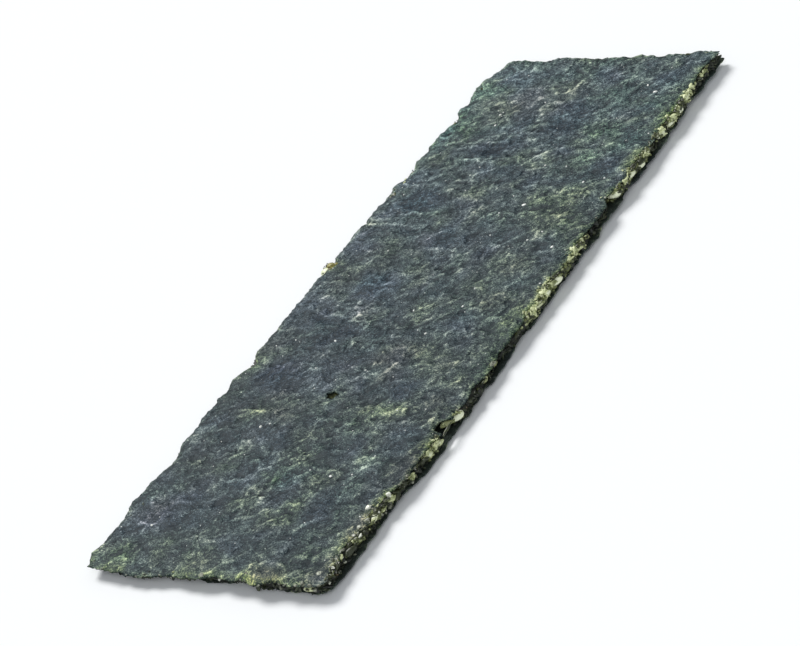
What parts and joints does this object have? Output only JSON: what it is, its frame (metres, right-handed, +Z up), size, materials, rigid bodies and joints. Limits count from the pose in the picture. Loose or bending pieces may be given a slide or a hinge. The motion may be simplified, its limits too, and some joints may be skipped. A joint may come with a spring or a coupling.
{
  "type": "seaweed snack",
  "caption": "Flat oblong seaweed crisp: thin crinkled roasted laver sheets with a sesame seed filling that shows at the ragged edges",
  "frame": {"origin": "middle of the outline, at the height of the lowest spots of the underside", "axes": "+Y along the long side towards the back end, +X across towards the side where most seeds show, +Z up out of the upper face"},
  "size_m": [0.036, 0.0958, 0.0023],
  "materials": {
    "laver": "roasted laver: dark blue-green to olive, crinkled, satin with a faint oily sheen",
    "seed_filling": "pale cream seeds in dried yellow-green syrup, satin with small glossy spots"
  },
  "bodies": {
    "root": {"laver_upper": "laver", "seed_filling": "seed_filling", "laver_lower": "laver"}
  },
  "joints": []
}
